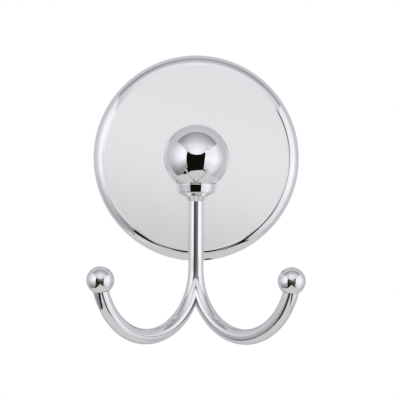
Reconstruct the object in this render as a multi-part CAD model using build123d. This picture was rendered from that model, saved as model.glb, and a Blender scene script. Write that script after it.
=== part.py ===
from build123d import *
from math import cos, radians, sin, tan
import os

# Robe hook with two prongs, in millimetres.
# The wall is the plane Y = 0, the hook faces -Y, +Z is up and the backplate's axis is the Y axis.

# Backplate: a hollow casting with a flat face and a rolled edge
PLATE_R = 38.0
PLATE_DEPTH = 8.0
EDGE_R = 4.4
WALL_T = 2.0

# Wall bracket: a pan that is screwed to the wall, with a lip that the backplate catches behind
BRACKET_R = 28.0
BRACKET_T = 1.5
LIP_OUT = 0.6
LIP_T = 0.6
BRACKET_FRONT_GAP = 0.3
WALL_HOLE_R = 2.25
WALL_HOLE_SPACING = 34.0

# Catch inside the top of the backplate, and boss for the grub screw inside its bottom
CATCH_W = 10.0
CATCH_LIP_GAP = 0.2
BOSS_W = 9.0
BOSS_BRACKET_GAP = 1.6
BACK_GAP = 0.8

# Grub screw, a little to one side of straight down
GRUB_R = 2.0
GRUB_Y = -4.0
GRUB_TURN = 7.0
GRUB_RECESS = 1.2
GRUB_TIP_R = 0.9
GRUB_TIP_L = 1.0
GRUB_HEX = 2.0
GRUB_HEX_DEPTH = 2.5

# Ball with a collar below it and a neck behind it, one casting
# The collar is a tapered ring with a coned underside that ends in a short sleeve round the stem
BALL_R = 11.55
STAND_OFF = 20.6
NECK_R = 6.0
COLLAR_R = 6.72
COLLAR_TAPER = 11.0
COLLAR_H = 3.3
COLLAR_DROP = 1.0
COLLAR_EDGE_R = 0.9
LEDGE_EDGE_R = 0.4
CONE_DROP = 1.2
COVE_R = 0.5
SLEEVE_L = 1.85
SLEEVE_T = 0.3
SLEEVE_TAPER = 32.0

# Screw that holds the neck to the backplate from behind
SCREW_R = 3.0
SCREW_CLEARANCE = 0.2
SCREW_HEAD_R = 5.25
SCREW_HEAD_H = 3.2
SCREW_LENGTH = 12.0
SCREW_HEX = 4.0
SCREW_HEX_DEPTH = 1.9
TAP_EXTRA = 1.5

# Double hook: stem, two equal prongs that each follow a bend and a wider arc, and their end balls, one casting
# The end balls sit a little toward the stem from the prongs' centre lines
ROD_R = 2.65
SPIGOT_L = 9.0
STEM_DROP = 39.2
BEND_R = 22.4
BEND_SWEEP = 55.0
PRONG_R = 24.9
PRONG_SWEEP = 114.6
PRONG_SPLAY = 48.0
END_BALL_R = 4.65
END_BALL_INSET = 0.65

# Places that several pieces share
HOOK_Y = -(PLATE_DEPTH + STAND_OFF)
CAVITY_Y = -(PLATE_DEPTH - WALL_T)
BRACKET_FRONT = CAVITY_Y + BRACKET_FRONT_GAP
LIP_Y = BRACKET_FRONT + LIP_T
COLLAR_Z = -(BALL_R + COLLAR_DROP)
SLEEVE_Z = COLLAR_Z - CONE_DROP
STEM_TOP_Z = SLEEVE_Z - SLEEVE_L
HEX_RATIO = cos(radians(30))


def along_y(shape):
    """Turns a shape that was built along +Z so that it points along -Y, away from the wall."""
    return Rot(90, 0, 0) * shape


def toward_grub(shape):
    """Turns a shape that was built along +Z so that it points outward along the grub screw's axis."""
    return Rot(0, -GRUB_TURN, 0) * Pos(0, GRUB_Y, 0) * Rot(180, 0, 0) * shape


def hex_socket(across_flats, depth):
    """A six-sided recess that goes down from the origin."""
    flat = RegularPolygon(across_flats / 2 / HEX_RATIO, 6)
    return extrude(flat, -depth)


def plate_body(radius, depth, edge):
    """A disc with a rolled front edge, its back on the wall."""
    outline = Polyline((0, 0), (radius, 0), (radius, -depth + edge))
    outline += RadiusArc((radius, -depth + edge), (radius - edge, -depth), edge)
    outline += Polyline((radius - edge, -depth), (0, -depth), (0, 0))
    return revolve(make_face(outline), Axis.Y)


def backplate():
    outside = plate_body(PLATE_R, PLATE_DEPTH, EDGE_R)
    cavity = plate_body(PLATE_R - WALL_T, PLATE_DEPTH - WALL_T, EDGE_R - WALL_T)
    boss_in = BRACKET_R + BOSS_BRACKET_GAP
    boss = Pos(0, 0, boss_in) * Box(BOSS_W, PLATE_DEPTH, PLATE_R, align=(Align.CENTER, Align.MAX, Align.MIN))
    boss = Pos(0, -BACK_GAP, 0) * boss
    boss = Rot(0, 180 - GRUB_TURN, 0) * boss
    catch_t = -(LIP_Y + CATCH_LIP_GAP) - BACK_GAP
    catch = Box(CATCH_W, catch_t, PLATE_R, align=(Align.CENTER, Align.MAX, Align.MIN))
    catch = Pos(0, -BACK_GAP, 0) * catch
    catch -= along_y(Cylinder(BRACKET_R, 4 * PLATE_DEPTH))
    plate = outside - (cavity - boss - catch)
    plate -= along_y(Cylinder(SCREW_R + SCREW_CLEARANCE, 4 * PLATE_DEPTH))
    thread = Cylinder(GRUB_R, PLATE_R, align=(Align.CENTER, Align.CENTER, Align.MIN))
    plate -= toward_grub(Pos(0, 0, BRACKET_R) * thread)
    return plate


def wall_bracket():
    outline = Polyline(
        (0, 0),
        (BRACKET_R, 0),
        (BRACKET_R, LIP_Y),
        (BRACKET_R + LIP_OUT, LIP_Y),
        (BRACKET_R + LIP_OUT, BRACKET_FRONT),
        (BRACKET_R - BRACKET_T, BRACKET_FRONT),
        (BRACKET_R - BRACKET_T, -BRACKET_T),
        (0, -BRACKET_T),
        close=True,
    )
    pan = revolve(make_face(outline), Axis.Y)
    for side in (-1, 1):
        pan -= Pos(side * WALL_HOLE_SPACING / 2, 0, 0) * along_y(Cylinder(WALL_HOLE_R, 4 * BRACKET_T))
    return pan


def grub_screw():
    length = PLATE_R - GRUB_RECESS - BRACKET_R
    shoulder = GRUB_TIP_L + GRUB_R - GRUB_TIP_R
    outline = Polyline(
        (0, 0),
        (GRUB_TIP_R, 0),
        (GRUB_TIP_R, GRUB_TIP_L),
        (GRUB_R, shoulder),
        (GRUB_R, length),
        (0, length),
        close=True,
    )
    screw = revolve(Plane.XZ * make_face(outline), Axis.Z)
    screw -= Pos(0, 0, length) * hex_socket(GRUB_HEX, GRUB_HEX_DEPTH)
    return toward_grub(Pos(0, 0, BRACKET_R) * screw)


def ball_post():
    collar_top = COLLAR_Z + COLLAR_H
    collar_top_r = COLLAR_R + COLLAR_H * tan(radians(COLLAR_TAPER))
    sleeve_end_r = ROD_R + SLEEVE_T
    sleeve_r = sleeve_end_r + SLEEVE_L * tan(radians(SLEEVE_TAPER))
    outline = Polyline(
        (0, collar_top),
        (collar_top_r, collar_top),
        (COLLAR_R, COLLAR_Z),
        (sleeve_r, SLEEVE_Z),
        (sleeve_end_r, STEM_TOP_Z),
        (0, STEM_TOP_Z),
        close=True,
    )
    face = make_face(outline)
    rounded = (
        ((collar_top_r, collar_top), LEDGE_EDGE_R),
        ((COLLAR_R, COLLAR_Z), COLLAR_EDGE_R),
        ((sleeve_r, SLEEVE_Z), COVE_R),
    )
    for corner, radius in rounded:
        face = fillet(face.vertices().sort_by_distance((*corner, 0))[0], radius)
    collar = revolve(Plane.XZ * face, Axis.Z)
    neck = along_y(Cylinder(NECK_R, STAND_OFF, align=(Align.CENTER, Align.CENTER, Align.MAX)))
    post = Sphere(BALL_R) + collar + neck
    bore = Pos(0, 0, STEM_TOP_Z) * Cylinder(ROD_R, 2 * SPIGOT_L)
    post = Pos(0, HOOK_Y, 0) * (post - bore)
    tap_l = SCREW_LENGTH - WALL_T + TAP_EXTRA
    tap = along_y(Cylinder(SCREW_R, tap_l, align=(Align.CENTER, Align.CENTER, Align.MIN)))
    return post - Pos(0, -PLATE_DEPTH, 0) * tap


def post_screw():
    shank = Cylinder(SCREW_R, SCREW_LENGTH, align=(Align.CENTER, Align.CENTER, Align.MIN))
    head = Cylinder(SCREW_HEAD_R, SCREW_HEAD_H, align=(Align.CENTER, Align.CENTER, Align.MAX))
    rim = head.edges().sort_by(Axis.Z)[0]
    head = fillet(rim, SCREW_HEAD_H / 3)
    head -= Pos(0, 0, -SCREW_HEAD_H) * Rot(180, 0, 0) * hex_socket(SCREW_HEX, SCREW_HEX_DEPTH)
    return Pos(0, CAVITY_Y, 0) * along_y(shank + head)


def double_hook():
    across = cos(radians(PRONG_SPLAY))
    forward = sin(radians(PRONG_SPLAY))
    prong_plane = Plane(origin=(0, HOOK_Y, 0), x_dir=(across, -forward, 0), z_dir=(-forward, -across, 0))
    stem = Line((0, STEM_TOP_Z + SPIGOT_L), (0, -STEM_DROP))
    bend = JernArc((0, -STEM_DROP), (0, -1), BEND_R, BEND_SWEEP)
    arc = JernArc(bend @ 1, bend % 1, PRONG_R, PRONG_SWEEP)
    path = prong_plane * (stem + bend + arc)
    section = Plane(origin=path @ 0, z_dir=path % 0) * Circle(ROD_R)
    end = arc @ 1
    end_ball = prong_plane * (Pos(end.X - END_BALL_INSET, end.Y) * Sphere(END_BALL_R))
    prong = sweep(section, path=path) + end_ball
    reach = 4 * (STEM_DROP + BEND_R + PRONG_R)
    half = prong & Pos(0, HOOK_Y, 0) * Box(reach, reach, reach, align=(Align.MIN, Align.CENTER, Align.CENTER))
    return half + mirror(half, Plane.YZ)


PIECES = {
    "backplate": backplate,
    "wall_bracket": wall_bracket,
    "grub_screw": grub_screw,
    "ball_post": ball_post,
    "post_screw": post_screw,
    "double_hook": double_hook,
}

os.makedirs("parts", exist_ok=True)
for node, build in PIECES.items():
    export_step(build(), f"parts/{node}.step")
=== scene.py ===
from math import cos, pi, radians, sin

import bpy
from mathutils import Matrix, Vector


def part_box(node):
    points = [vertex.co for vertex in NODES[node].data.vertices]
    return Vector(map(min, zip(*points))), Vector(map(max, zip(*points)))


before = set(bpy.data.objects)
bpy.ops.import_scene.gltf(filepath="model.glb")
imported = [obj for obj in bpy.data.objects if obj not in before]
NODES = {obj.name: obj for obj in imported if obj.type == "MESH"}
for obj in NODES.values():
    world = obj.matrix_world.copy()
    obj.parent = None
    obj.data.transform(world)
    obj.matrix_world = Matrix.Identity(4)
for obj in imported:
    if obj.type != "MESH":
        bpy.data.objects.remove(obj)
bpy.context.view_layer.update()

# Robe hook in chrome, in metres, in the frame's own axes: the hook faces -Y, +Z is up.

SCENE = bpy.context.scene
SCENE.view_settings.view_transform = "Standard"
MM = 0.001

# Places and sizes of the solids. The plate's edge radius and the grub screw's turn are those of the CAD.
BALL_LOW, BALL_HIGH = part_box("ball_post")
BALL_R = BALL_HIGH[2]
BALL_Y = BALL_LOW[1] + BALL_R
PLATE_LOW, PLATE_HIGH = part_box("backplate")
PLATE_R = PLATE_HIGH[0]
PLATE_FRONT = PLATE_LOW[1]
PLATE_EDGE_R = 4.4 * MM
GRUB_LOW, GRUB_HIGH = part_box("grub_screw")
GRUB_Y = (GRUB_LOW[1] + GRUB_HIGH[1]) / 2
GRUB_R = (GRUB_HIGH[1] - GRUB_LOW[1]) / 2
GRUB_TURN = radians(7)


# Shader helpers

def feed(tree, socket, value):
    """Sets a socket to a plain value, or links it to another node's socket."""
    if isinstance(value, bpy.types.NodeSocket):
        tree.links.new(value, socket)
    else:
        socket.default_value = value


def add(tree, kind, **inputs):
    """Adds a node. Each named input takes a plain value or another node's socket."""
    node = tree.nodes.new("ShaderNode" + kind)
    for name, value in inputs.items():
        feed(tree, node.inputs[name.replace("_", " ")], value)
    return node


def calc(tree, operation, *values):
    """A Math node's result from plain numbers or sockets."""
    node = add(tree, "Math")
    node.operation = operation
    for socket, value in zip(node.inputs, values):
        feed(tree, socket, value)
    return node.outputs["Value"]


def remap(tree, value, low, high, to_low=0.0, to_high=1.0):
    """Maps a value from low..high to to_low..to_high, held at the ends."""
    node = add(tree, "MapRange", Value=value, From_Min=low, From_Max=high, To_Min=to_low, To_Max=to_high)
    return node.outputs["Result"]


def new_tree(owner):
    """The empty shader tree of a material, a light or a world."""
    owner.use_nodes = True
    owner.node_tree.nodes.clear()
    return owner.node_tree


def metal(name, colour):
    """A metal material with its tree, its shader and the object's own coordinates."""
    material = bpy.data.materials.new(name)
    tree = new_tree(material)
    shader = add(tree, "BsdfPrincipled", Base_Color=(*colour, 1), Metallic=1.0)
    output = add(tree, "OutputMaterial")
    tree.links.new(shader.outputs["BSDF"], output.inputs["Surface"])
    coords = add(tree, "TexCoord").outputs["Object"]
    return material, tree, shader, coords


def noise(tree, coords, size, detail):
    """Noise whose marks are about this size in metres."""
    node = add(tree, "TexNoise", Vector=coords, Scale=1 / size, Detail=detail)
    return node.outputs["Fac"]


def bump(tree, shader, height, depth):
    """Bump from a height of 0 to 1 that stands for this depth in metres."""
    node = add(tree, "Bump", Height=height, Distance=depth, Strength=1.0)
    tree.links.new(node.outputs["Normal"], shader.inputs["Normal"])


def finish_node(node, material):
    """Gives one piece its only material."""
    slots = NODES[node].data.materials
    slots.clear()
    slots.append(material)


# Finishes

CHROME = (0.865, 0.872, 0.885)
GRAZING_TINT = (0.72, 0.72, 0.73)
SMEAR_DETAIL, SMEAR_RANGE = 4.0, (0.35, 0.7)
GRAIN_DETAIL, GRAIN_RANGE = 3.0, (0.3, 0.7)

CASTING_SMEAR_SIZE = 9 * MM
CASTING_ROUGH = (0.02, 0.05)


def polished_chrome(name, wave_depth, wave_size):
    """Plating over a hand-polished casting: nearly a mirror, with slight waves and faint smears."""
    material, tree, shader, coords = metal(name, CHROME)
    shader.inputs["Specular Tint"].default_value = (*GRAZING_TINT, 1)
    smears = noise(tree, coords, CASTING_SMEAR_SIZE, SMEAR_DETAIL)
    tree.links.new(remap(tree, smears, *SMEAR_RANGE, *CASTING_ROUGH), shader.inputs["Roughness"])
    bump(tree, shader, noise(tree, coords, wave_size, 1.0), wave_depth)
    return material


FACE_R = PLATE_R - PLATE_EDGE_R
FACE_DEPTH = 0.5 * MM
FACE_FADE_START, FACE_FADE_END = FACE_R + 0.7 * MM, FACE_R + 1.1 * MM
SHELL_T = 1.7 * MM
HOLE_MARGIN = 0.03 * MM
HOLE_TOP = -0.7 * PLATE_R
EDGE_ROUGH, FACE_ROUGH_MORE, INSIDE_ROUGH_MORE, THREAD_ROUGH = 0.04, 0.05, 0.4, 0.5
PLATE_SMEAR_SIZE, PLATE_SMEAR_ROUGH = 12 * MM, (-0.02, 0.02)
CAST_GRAIN_SIZE, CAST_GRAIN_DEPTH = 0.5 * MM, 0.06 * MM
# Near-black colour painted into the grub screw's hole as shade in the recess
THREAD_SHADE_COLOUR = (0.02, 0.02, 0.021)


def plate_chrome():
    """Polished face, mirror-like rolled edge, dull cavity, and threads in the grub screw's hole painted
    near-black as shade.
    """
    material, tree, shader, coords = metal("plate_chrome", CHROME)
    split = add(tree, "SeparateXYZ", Vector=coords)
    x, y, z = (split.outputs[axis] for axis in "XYZ")
    squares = calc(tree, "ADD", calc(tree, "MULTIPLY", x, x), calc(tree, "MULTIPLY", z, z))
    radius = calc(tree, "SQRT", squares)

    on_front = calc(tree, "LESS_THAN", y, PLATE_FRONT + FACE_DEPTH)
    face = calc(tree, "MULTIPLY", on_front, remap(tree, radius, FACE_FADE_START, FACE_FADE_END, 1, 0))
    behind = calc(tree, "GREATER_THAN", y, PLATE_FRONT + SHELL_T)
    inside = calc(tree, "MULTIPLY", behind, calc(tree, "LESS_THAN", radius, PLATE_R - SHELL_T))

    from_x = calc(tree, "MULTIPLY", x, cos(GRUB_TURN))
    from_z = calc(tree, "MULTIPLY", z, sin(GRUB_TURN))
    sideways = calc(tree, "ADD", from_x, from_z)
    off_axis = add(tree, "CombineXYZ", X=sideways, Y=calc(tree, "SUBTRACT", y, GRUB_Y))
    distance = add(tree, "VectorMath")
    distance.operation = "LENGTH"
    tree.links.new(off_axis.outputs["Vector"], distance.inputs[0])
    in_hole = calc(tree, "LESS_THAN", distance.outputs["Value"], GRUB_R + HOLE_MARGIN)
    threads_and_shade = calc(tree, "MULTIPLY", in_hole, calc(tree, "LESS_THAN", z, HOLE_TOP))

    smears = noise(tree, coords, PLATE_SMEAR_SIZE, SMEAR_DETAIL)
    smears = remap(tree, smears, *SMEAR_RANGE, *PLATE_SMEAR_ROUGH)
    rough = calc(tree, "MULTIPLY_ADD", face, FACE_ROUGH_MORE, EDGE_ROUGH)
    rough = calc(tree, "MULTIPLY_ADD", inside, INSIDE_ROUGH_MORE, rough)
    rough = calc(tree, "ADD", rough, calc(tree, "MULTIPLY", smears, calc(tree, "MAXIMUM", face, inside)))
    rough = calc(tree, "MAXIMUM", rough, calc(tree, "MULTIPLY", threads_and_shade, THREAD_ROUGH))
    tree.links.new(rough, shader.inputs["Roughness"])
    # The threads in the grub screw's hole are coloured near-black: painted shade in the hole
    tint = add(tree, "MixRGB", Fac=threads_and_shade, Color1=(*CHROME, 1), Color2=(*THREAD_SHADE_COLOUR, 1))
    tree.links.new(tint.outputs["Color"], shader.inputs["Base Color"])
    grain = noise(tree, coords, CAST_GRAIN_SIZE, GRAIN_DETAIL)
    grain = calc(tree, "MULTIPLY", grain, calc(tree, "MAXIMUM", inside, threads_and_shade))
    bump(tree, shader, grain, CAST_GRAIN_DEPTH)
    return material


ZINC, ZINC_DARK, ZINC_LIGHT = (0.62, 0.63, 0.62), (0.58, 0.6, 0.61), (0.66, 0.67, 0.66)
CRYSTAL_SIZE, CRYSTAL_ROUGH = 5 * MM, (0.3, 0.42)
ROLLING_SIZE, ROLLING_STRETCH, ROLLING_ROUGH, ROLLING_DEPTH = 3 * MM, 14, (-0.05, 0.05), 0.02 * MM


def zinc_plate():
    """Rolled steel sheet with dull zinc: faint crystals and fine rolling lines."""
    material, tree, shader, coords = metal("zinc_plate", ZINC)
    stretched = add(tree, "Mapping", Vector=coords, Scale=(1, 1, ROLLING_STRETCH)).outputs["Vector"]
    lines = noise(tree, stretched, ROLLING_SIZE, GRAIN_DETAIL)
    cells = add(tree, "TexVoronoi", Vector=coords, Scale=1 / CRYSTAL_SIZE)
    grey = add(tree, "SeparateColor", Color=cells.outputs["Color"]).outputs["Red"]
    crystal_rough = remap(tree, grey, 0, 1, *CRYSTAL_ROUGH)
    line_rough = remap(tree, lines, *GRAIN_RANGE, *ROLLING_ROUGH)
    tree.links.new(calc(tree, "ADD", crystal_rough, line_rough), shader.inputs["Roughness"])
    tint = add(tree, "MixRGB", Fac=grey, Color1=(*ZINC_DARK, 1), Color2=(*ZINC_LIGHT, 1))
    tree.links.new(tint.outputs["Color"], shader.inputs["Base Color"])
    bump(tree, shader, lines, ROLLING_DEPTH)
    return material


TURNED_GRAIN_SIZE, TURNED_GRAIN_DEPTH, TURNED_ROUGH_CHANGE = 0.3 * MM, 0.01 * MM, 0.08


def screw_finish(name, colour, rough):
    """Turned and coated steel with a fine grain."""
    material, tree, shader, coords = metal(name, colour)
    grain = noise(tree, coords, TURNED_GRAIN_SIZE, GRAIN_DETAIL)
    low, high = rough - TURNED_ROUGH_CHANGE, rough + TURNED_ROUGH_CHANGE
    tree.links.new(remap(tree, grain, *GRAIN_RANGE, low, high), shader.inputs["Roughness"])
    bump(tree, shader, grain, TURNED_GRAIN_DEPTH)
    return material


finish_node("backplate", plate_chrome())
finish_node("ball_post", polished_chrome("ball_chrome", 0.01 * MM, 20 * MM))
finish_node("double_hook", polished_chrome("hook_chrome", 0.05 * MM, 9 * MM))
finish_node("wall_bracket", zinc_plate())
finish_node("post_screw", screw_finish("screw_steel", (0.42, 0.42, 0.43), 0.3))
finish_node("grub_screw", screw_finish("black_oxide", (0.05, 0.05, 0.055), 0.4))


# Studio: white boards round the hook, open at the front round the camera
# Places are measured from the ball: to the right, forward to the camera, and up

SIDE = 0.40
FLOOR_UP = -0.53
WALL_BACK = 0.18
FAR = 3.5
WALL_UP = 2.5
COOL = (0.98, 0.985, 1.018)
WALL_TINT = (0.975, 0.985, 1.035)
WARM = (1.01, 1.0, 0.97)
NEUTRAL = (1.0, 0.991, 0.995)
WHITE = (1, 1, 1)
DARK = (0.0065, 0.0055, 0.004)
SIDE_LEVEL, TOP_LEVEL, FLOOR_LEVEL, WALL_LEVEL = 1.12, 1.08, 0.66, 0.64
RIGHT, FRONT, BACK, UP = (1, 0, 0), (0, -1, 0), (0, 1, 0), (0, 0, 1)


def place(right, forward, up):
    """A point in the frame's axes."""
    return (right, BALL_Y - forward, up)


# A ramp is a direction in the frame's axes and (distance in metres along it, level) stops

def forward_stops(*stops):
    """A ramp whose stops are given by the distance in front of the ball, nearest the wall last."""
    return (BACK, [(BALL_Y - forward, level) for forward, level in stops])


def beyond(direction, start, full):
    """A ramp that is dark up to one distance and full from the next one on."""
    return (direction, [(start, 0), (full, 1)])


def until(direction, full, end):
    """A ramp that is full up to one distance and dark from the next one on."""
    return (direction, [(full, 1), (end, 0)])


def falloff(tree, direction, stops):
    """The level of one ramp."""
    dot = add(tree, "VectorMath")
    dot.operation = "DOT_PRODUCT"
    tree.links.new(add(tree, "NewGeometry").outputs["Position"], dot.inputs[0])
    dot.inputs[1].default_value = direction
    first, last = stops[0][0], stops[-1][0]
    ramp = add(tree, "ValToRGB", Fac=remap(tree, dot.outputs["Value"], first, last))
    points = ramp.color_ramp.elements
    while len(points) < len(stops):
        points.new(0.5)
    for point, (at, level) in zip(points, stops):
        point.position = (at - first) / (last - first)
        point.color = (level, level, level, 1)
    return ramp.outputs["Color"]


def combine(tree, operation, levels):
    """Joins several levels into one with a Math operation."""
    result = levels[0]
    for level in levels[1:]:
        result = calc(tree, operation, result, level)
    return result


def glow(tree, tint, strength, ramps, output):
    """An emission shader whose strength each ramp multiplies. In a list of ramps the highest counts."""
    levels = []
    for ramp in ramps:
        choices = ramp if isinstance(ramp, list) else [ramp]
        levels.append(combine(tree, "MAXIMUM", [falloff(tree, *choice) for choice in choices]))
    shader = add(tree, "Emission", Color=(*tint, 1), Strength=strength)
    if levels:
        level = combine(tree, "MULTIPLY", levels)
        tree.links.new(calc(tree, "MULTIPLY", level, strength), shader.inputs["Strength"])
    tree.links.new(shader.outputs["Emission"], add(tree, output).inputs["Surface"])


def board(name, points, faces, tint, strength, *ramps):
    """A glowing board that the camera doesn't see."""
    mesh = bpy.data.meshes.new(name)
    mesh.from_pydata(points, [], faces)
    material = bpy.data.materials.new(name)
    glow(new_tree(material), tint, strength, ramps, "OutputMaterial")
    mesh.materials.append(material)
    obj = bpy.data.objects.new(name, mesh)
    obj.visible_camera = False
    SCENE.collection.objects.link(obj)


def flat_board(name, points, tint, strength, *ramps):
    """A board with one face."""
    board(name, points, [range(len(points))], tint, strength, *ramps)


def side_board(name, right, outline, *ramps):
    """A board to one side, from an outline of (forward, up) points."""
    points = [place(right, forward, up) for forward, up in outline]
    flat_board(name, points, COOL, SIDE_LEVEL, *ramps)


# Boards to the left and right, above, below and behind

LEFT_OUTLINE = [(0.616, 0.258), (0.563, 0.0), (0.541, -0.469), (0.306, -0.461), (0.092, -0.506),
                (-0.049, -0.435), (-0.176, -0.385), (-0.176, 0.0), (-0.176, 0.4), (-0.03, 0.33)]
side_board("left_board", -SIDE, LEFT_OUTLINE,
           (UP, [(-0.45, 0.28), (-0.31, 0.35), (-0.2, 0.54), (-0.12, 0.76), (-0.04, 0.95), (0.1, 1.0),
                 (0.33, 0.85)]),
           forward_stops((0.62, 1.0), (0.30, 1.0), (0.2, 0.93), (0.107, 0.83), (0.03, 0.71), (-0.02, 0.65),
                         (-0.176, 0.58)))

RIGHT_OUTLINE = [(0.45, 0.23), (0.56, 0.27), (0.70, 0.27), (0.638, 0.178), (0.713, -0.163), (0.70, -0.45),
                 (0.655, -0.653), (0.422, -0.611), (0.224, -0.589), (0.0, -0.493), (-0.176, -0.42),
                 (-0.176, 0.27)]
side_board("right_board", SIDE, RIGHT_OUTLINE,
           (UP, [(-0.5, 0.62), (-0.32, 0.79), (-0.2, 0.84), (-0.12, 0.94), (-0.04, 1.0), (0.04, 0.93),
                 (0.27, 0.85)]),
           forward_stops((0.745, 0.95), (0.4, 0.96), (0.23, 1.0), (0.107, 0.98), (0.0, 0.78), (-0.12, 0.6),
                         (-0.176, 0.58)))

TOP_EDGE = [(-1.0, 0.33), (-0.377, 0.245), (-0.19, 0.115), (0.0, 0.079), (0.17, 0.1), (0.30, 0.19),
            (0.349, 0.24), (0.42, 0.285), (1.0, 0.32)]
TOP_FRONT, TOP_BACK, TOP_BACK_UP = 0.58, -0.075, 0.486
TOP_ACROSS = (RIGHT, [(-1.0, 0.72), (-0.3, 0.76), (-0.15, 0.92), (0.0, 1.0), (0.15, 0.93), (0.3, 0.82),
                      (1.0, 0.8)])
top_points = [place(right, TOP_FRONT, up) for right, up in TOP_EDGE]
top_points += [place(right, TOP_BACK, TOP_BACK_UP) for right, up in TOP_EDGE]
count = len(TOP_EDGE)
top_faces = [(i, i + 1, count + i + 1, count + i) for i in range(count - 1)]
board("top_board", top_points, top_faces, COOL, TOP_LEVEL, TOP_ACROSS,
      forward_stops((0.58, 0.80), (0.44, 0.80), (0.40, 0.84), (0.35, 0.90), (0.30, 0.87), (0.25, 0.76),
                    (0.2, 0.64), (0.165, 0.57), (0.104, 0.48), (0.037, 0.41), (-0.075, 0.31)))

FLOOR_OUTLINE = [(-FAR, -WALL_BACK), (-0.9, -WALL_BACK), (-0.419, 0.096), (-0.351, 0.145), (-0.279, 0.27),
                 (-0.203, 0.425), (0.02, 0.491), (0.244, 0.48), (0.251, 0.457), (0.31, 0.343),
                 (0.36, 0.202), (0.9, -WALL_BACK)]
floor_points = [place(right, forward, FLOOR_UP) for right, forward in FLOOR_OUTLINE]
flat_board("floor_board", floor_points, WARM, FLOOR_LEVEL)

WALL_CORNERS = [(-FAR, FLOOR_UP), (FAR, FLOOR_UP), (FAR, WALL_UP), (-FAR, WALL_UP)]
wall_points = [place(right, -WALL_BACK, up) for right, up in WALL_CORNERS]
flat_board("wall_board", wall_points, WALL_TINT, WALL_LEVEL)

# A small card behind the plate, brighter at the upper left, for the reflections in its back
CARD_R, CARD_Y, CARD_SIDES = 0.045, 0.09, 12
CARD_UP_LEFT = (-0.5, 0, 0.87)
card_angles = [2 * pi * i / CARD_SIDES for i in range(CARD_SIDES)]
card_points = [(CARD_R * cos(angle), CARD_Y, CARD_R * sin(angle)) for angle in card_angles]
flat_board("back_card", card_points, NEUTRAL, 1.0, (CARD_UP_LEFT, [(-CARD_R, 0.3), (CARD_R, 1.15)]))

# The dark room that shows between the boards
DARK_SIDE, DARK_FRONT, DARK_UP, DARK_DOWN = 0.8, 0.85, 0.4, -0.9
dark_points = [place(-DARK_SIDE, DARK_FRONT, DARK_UP), place(DARK_SIDE, DARK_FRONT, DARK_UP),
               place(DARK_SIDE, DARK_FRONT, DARK_DOWN), place(-DARK_SIDE, DARK_FRONT, DARK_DOWN),
               place(-DARK_SIDE, -WALL_BACK, DARK_DOWN), place(DARK_SIDE, -WALL_BACK, DARK_DOWN)]
board("dark_surround", dark_points, [(0, 1, 2, 3), (3, 2, 5, 4)], DARK, 1.0)


# Lights that each shine on one piece
# A facing is a tilt and a turn in degrees

FACING_HOOK, FACING_UP, FACING_RIGHT, FACING_CAMERA = (90, 0), (180, 0), (90, -90), (-90, 0)
FACING_DOWN_BACK = (31.9, 0)


def linked_light(name, node, middle, size, facing, tint, level, *ramps):
    """A soft light that only one piece reflects."""
    light = bpy.data.lights.new(name, "AREA")
    light.shape = "RECTANGLE"
    light.size, light.size_y = size
    light.energy = pi * light.size * light.size_y
    glow(new_tree(light), tint, level, ramps, "OutputLight")
    obj = bpy.data.objects.new(name, light)
    obj.location = place(*middle)
    tilt, turn = facing
    obj.rotation_euler = (radians(tilt), 0, radians(turn))
    SCENE.collection.objects.link(obj)
    receivers = bpy.data.collections.new(name + "_receivers")
    receivers.objects.link(NODES[node])
    obj.light_linking.receiver_collection = receivers
    return light


# In the opening, just behind the camera: a card for the plate, and the room for the hook
OPENING = 0.63
PLATE_TONES = [((0.25, 0, 1), [(-0.4, 0.66), (-0.062, 0.68), (-0.045, 0.73), (-0.02, 0.83), (0.0, 0.88),
                               (0.024, 0.89), (0.06, 0.87), (0.3, 0.85)]),
               ((0.87, 0, -0.5), [(0.08, 0.6), (0.1, 0.68), (0.135, 0.75), (0.17, 0.83), (0.3, 0.83)])]
PLATE_ACROSS = (RIGHT, [(-0.62, 1.2), (-0.25, 1.2), (-0.13, 1.05), (-0.07, 1.0), (0.12, 1.0), (0.22, 0.93),
                        (0.30, 0.85)])
PLATE_UPPER_RIGHT_END = until((0.934, 0, 0.355), 0.284, 0.299)
PLATE_LOWER_RIGHT_END = until((0.707, 0, -0.707), 0.285, 0.3)
PLATE_LOWER_END = [beyond(UP, -0.307, -0.293), beyond((-0.766, 0, 0.643), 0.0, 0.025)]
PLATE_LOWER_FADE = (UP, [(-0.5, 0.3), (-0.34, 0.5), (-0.295, 0.62), (-0.27, 1)])
linked_light("plate_light", "backplate", (-0.15, OPENING, -0.125), (0.94, 0.75), FACING_HOOK, NEUTRAL, 1.0,
             PLATE_TONES, PLATE_ACROSS, PLATE_UPPER_RIGHT_END, PLATE_LOWER_RIGHT_END, PLATE_LOWER_END,
             PLATE_LOWER_FADE)
linked_light("room_light", "double_hook", (0.02, OPENING, -0.20), (0.64, 0.60), FACING_HOOK, WHITE, 0.37,
             (UP, [(-0.5, 0.12), (-0.15, 0.16), (-0.08, 0.4), (0.0, 0.55), (0.10, 1.0)]),
             (RIGHT, [(-0.3, 0.3), (-0.1, 0.53), (0.05, 0.87), (0.3, 1.0)]))

# Just above the floor board, where it ends: a longer floor for the plate's rim and for the hook
FLOOR_LIGHT_UP = FLOOR_UP + 0.005
PAST_FLOOR_FRONT = beyond((-0.284, -0.959, 0), 0.486, 0.499)
PAST_FLOOR_LEFT = beyond((-0.898, -0.44, 0), 0.364, 0.376)
linked_light("floor_light", "backplate", (-0.225, 0.375, FLOOR_LIGHT_UP), (0.49, 0.55), FACING_UP, WARM,
             FLOOR_LEVEL, [PAST_FLOOR_LEFT, PAST_FLOOR_FRONT], beyond((0.622, 0.783, 0), -0.622, -0.602))
linked_light("strip_light", "double_hook", (0.02, 0.635, FLOOR_LIGHT_UP), (0.52, 0.43), FACING_UP, WARM,
             FLOOR_LEVEL, [PAST_FLOOR_FRONT, beyond(FRONT, 0.509, 0.522)],
             beyond((0.92, 0.392, 0), -0.4, -0.385), beyond((-0.9, 0.436, 0), -0.433, -0.418))

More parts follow.
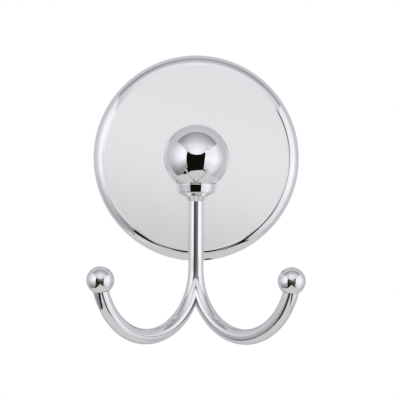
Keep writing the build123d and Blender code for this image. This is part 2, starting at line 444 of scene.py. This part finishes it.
# For the lower left and lower right of the plate's rim: a brighter left board, and a strip in the opening
linked_light("left_fill", "backplate", (-0.39, 0.08, -0.27), (0.32, 0.38), FACING_RIGHT, COOL, 0.3,
             forward_stops((0.24, 0.0), (0.19, 0.1), (0.12, 0.5), (0.04, 1.0), (-0.08, 1.0)),
             (UP, [(-0.46, 1.0), (-0.38, 1.0), (-0.24, 0.5), (-0.1, 0.0)]))
linked_light("low_strip", "backplate", (0.30, OPENING, -0.40), (0.20, 0.20), FACING_HOOK, WARM, 0.62,
             beyond((0.574, 0, -0.819), 0.413, 0.428), beyond(RIGHT, 0.2, 0.225))


# Along the top board's front: more light and a lower right corner for the ball, brighter ends for the rim

def above_edge(first, second):
    """A ramp with its end at the plane through the ball's centre and two points at the top board's front.

    It is lit above the plane where the first point is the left one, and below it where it is the right one.
    """
    ends = [Vector((right, -TOP_FRONT, up)) for right, up in (first, second)]
    normal = ends[0].cross(ends[1]).normalized()
    at = normal.y * BALL_Y
    return beyond(tuple(normal), at - 0.001, at + 0.004)


TOP_STRIP = ((0.0, 0.455, 0.151), (0.9, 0.294), FACING_DOWN_BACK, COOL)
LEFT_CORNER, LEFT_BEND, MIDDLE, RIGHT_BEND, RAISED_CORNER = TOP_EDGE[1:6]
BALL_CORNER = (0.349, 0.166)
ABOVE_LEFT = above_edge(LEFT_CORNER, LEFT_BEND)
ABOVE_MIDDLE_LEFT = above_edge(LEFT_BEND, MIDDLE)
ABOVE_MIDDLE_RIGHT = above_edge(MIDDLE, RIGHT_BEND)
ABOVE_BALL_CORNER = above_edge(RIGHT_BEND, BALL_CORNER)
linked_light("top_light", "ball_post", *TOP_STRIP, TOP_LEVEL, TOP_ACROSS,
             forward_stops((0.58, 0.2), (0.44, 0.2), (0.40, 0.155), (0.35, 0.035), (0.33, 0.0)),
             ABOVE_LEFT, ABOVE_MIDDLE_LEFT, ABOVE_MIDDLE_RIGHT, ABOVE_BALL_CORNER)
linked_light("corner_light", "ball_post", *TOP_STRIP, 0.86, TOP_ACROSS, ABOVE_BALL_CORNER,
             above_edge(RAISED_CORNER, RIGHT_BEND), above_edge((0.364, 0.162), (0.331, 0.224)))
linked_light("rim_light", "backplate", *TOP_STRIP, TOP_LEVEL,
             forward_stops((0.58, 1.0), (0.42, 1.0), (0.37, 0.3), (0.34, 0.0)),
             (RIGHT, [(-0.4, 0.06), (-0.25, 0.06), (-0.12, 0.03), (0.0, 0.0), (0.12, 0.05), (0.28, 0.15)]),
             ABOVE_LEFT, ABOVE_MIDDLE_LEFT, ABOVE_MIDDLE_RIGHT, above_edge(RIGHT_BEND, RAISED_CORNER))


# Just in front of the plate: pale edges for the ball and a pale underside for the collar

CLOSE_FORWARD = -0.0196
CLOSE_SPREAD = radians(150)
CLOSE_LEVEL = 0.345
TO_RIGHT, TO_LOWER_RIGHT, TO_LOWER_LEFT = (0.951, 0, 0.309), (0.906, 0, -0.423), (-0.616, 0, -0.788)
RING_INNER, RING_OUTER = (0.0175, 0.0195), (0.0235, 0.0255)


def close_light(name, right, up, size, *ramps):
    """A small light for the ball's piece that doesn't shine sideways."""
    middle = (right, CLOSE_FORWARD, up)
    light = linked_light(name, "ball_post", middle, size, FACING_CAMERA, COOL, CLOSE_LEVEL, *ramps)
    light.spread = CLOSE_SPREAD


close_light("right_edge_light", 0.02, -0.003, (0.03, 0.034),
            [beyond(TO_RIGHT, *RING_INNER), beyond(TO_LOWER_RIGHT, *RING_INNER)],
            until(TO_RIGHT, *RING_OUTER), until(TO_LOWER_RIGHT, *RING_OUTER))
close_light("left_edge_light", -0.0163, -0.0209, (0.02, 0.02),
            (TO_LOWER_LEFT, [(0.0195, 0), (0.0215, 1), (0.0285, 1), (0.0305, 0)]))
close_light("collar_light", 0.0, -0.028, (0.044, 0.02))


# White background

world = bpy.data.worlds.new("studio")
SCENE.world = world
world_tree = new_tree(world)
sky = add(world_tree, "Background", Color=(*WHITE, 1), Strength=1.0)
world_tree.links.new(sky.outputs["Background"], add(world_tree, "OutputWorld").inputs["Surface"])


# Camera, almost straight in front of the plate

CAMERA_AT = (-1.48 * MM, -604 * MM, -8.3 * MM)
YAW, PITCH, ROLL = radians(-0.282), radians(-0.684), radians(-0.299)
FOCAL_PX = 1621.1
FRAME_PX = 400
CLIP_START = 0.01

lens = bpy.data.cameras.new("camera")
lens.sensor_fit = "HORIZONTAL"
lens.lens = lens.sensor_width * FOCAL_PX / FRAME_PX
lens.clip_start = CLIP_START
camera = bpy.data.objects.new("camera", lens)
turned = Matrix.Rotation(YAW, 3, "Z") @ Matrix.Rotation(PITCH, 3, "X") @ Matrix.Rotation(ROLL, 3, "Y")
camera.rotation_euler = (turned @ Matrix.Rotation(radians(90), 3, "X")).to_euler()
camera.location = CAMERA_AT
SCENE.collection.objects.link(camera)
SCENE.camera = camera
